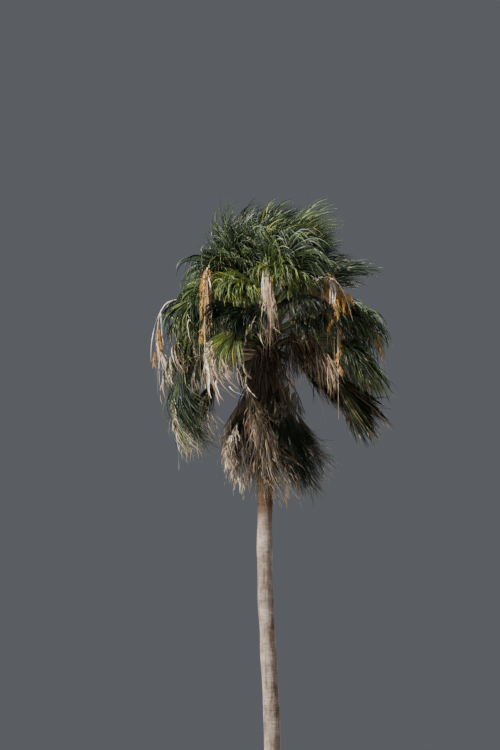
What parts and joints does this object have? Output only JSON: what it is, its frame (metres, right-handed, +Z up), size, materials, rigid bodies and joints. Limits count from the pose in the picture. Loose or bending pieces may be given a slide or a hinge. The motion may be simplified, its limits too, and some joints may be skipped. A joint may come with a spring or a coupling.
{
  "type": "fan palm tree",
  "caption": "Tall fan palm tree in the wind: slim ringed trunk with a flared foot, a full crown of fan leaves, hanging flower bunches and a skirt of dead leaves.",
  "frame": {"origin": "middle of the flat cut under the trunk, at ground level", "axes": "+Z up the trunk; -Y is the side that the picture shows; +X is the side that the wind blows to"},
  "size_m": [4.1398, 3.9626, 12.8468],
  "materials": {
    "bark": "rough ringed bark",
    "young_green": "leaf, satin",
    "green": "leaf, satin",
    "dark_green": "leaf, satin",
    "olive": "leaf, matte",
    "brown": "dead leaf, matte",
    "straw": "dead leaf, matte",
    "flower": "dry flower branches, matte"
  },
  "bodies": {
    "root": {"trunk": "bark", "spear_leaf_1": "young_green", "top_leaf_1": "green", "top_leaf_2": "green", "top_leaf_3": "green", "top_leaf_4": "green", "top_leaf_5": "green", "upper_leaf_1": "green", "upper_leaf_2": "green", "upper_leaf_3": "green", "upper_leaf_4": "green", "upper_leaf_5": "green", "shoulder_leaf_1": "green", "shoulder_leaf_2": "green", "shoulder_leaf_3": "green", "shoulder_leaf_4": "green", "shoulder_leaf_5": "green", "shoulder_leaf_6": "green", "shoulder_leaf_7": "green", "spreading_leaf_1": "dark_green", "spreading_leaf_2": "dark_green", "spreading_leaf_3": "dark_green", "spreading_leaf_4": "dark_green", "spreading_leaf_5": "dark_green", "spreading_leaf_6": "dark_green", "spreading_leaf_7": "dark_green", "arching_leaf_1": "olive", "arching_leaf_2": "olive", "arching_leaf_3": "olive", "arching_leaf_4": "olive", "arching_leaf_5": "olive", "arching_leaf_6": "olive", "weeping_leaf_1": "olive", "weeping_leaf_2": "olive", "weeping_leaf_3": "olive", "hanging_leaf_1": "brown", "streaming_leaf_1": "brown", "collar_leaf_1": "brown", "collar_leaf_2": "brown", "collar_leaf_3": "brown", "collar_leaf_4": "brown", "collar_leaf_5": "brown", "skirt_leaf_1": "straw", "skirt_leaf_2": "straw", "skirt_leaf_3": "straw", "skirt_leaf_4": "straw", "skirt_leaf_5": "straw", "skirt_leaf_6": "straw", "flower_stalk_1": "flower", "flower_stalk_2": "flower", "flower_stalk_3": "flower", "flower_stalk_4": "flower", "flower_stalk_5": "flower", "flower_stalk_6": "flower", "flower_panicle_1": "flower", "flower_panicle_2": "flower", "flower_panicle_3": "flower", "flower_panicle_4": "flower", "flower_panicle_5": "flower", "flower_panicle_6": "flower"}
  },
  "joints": []
}
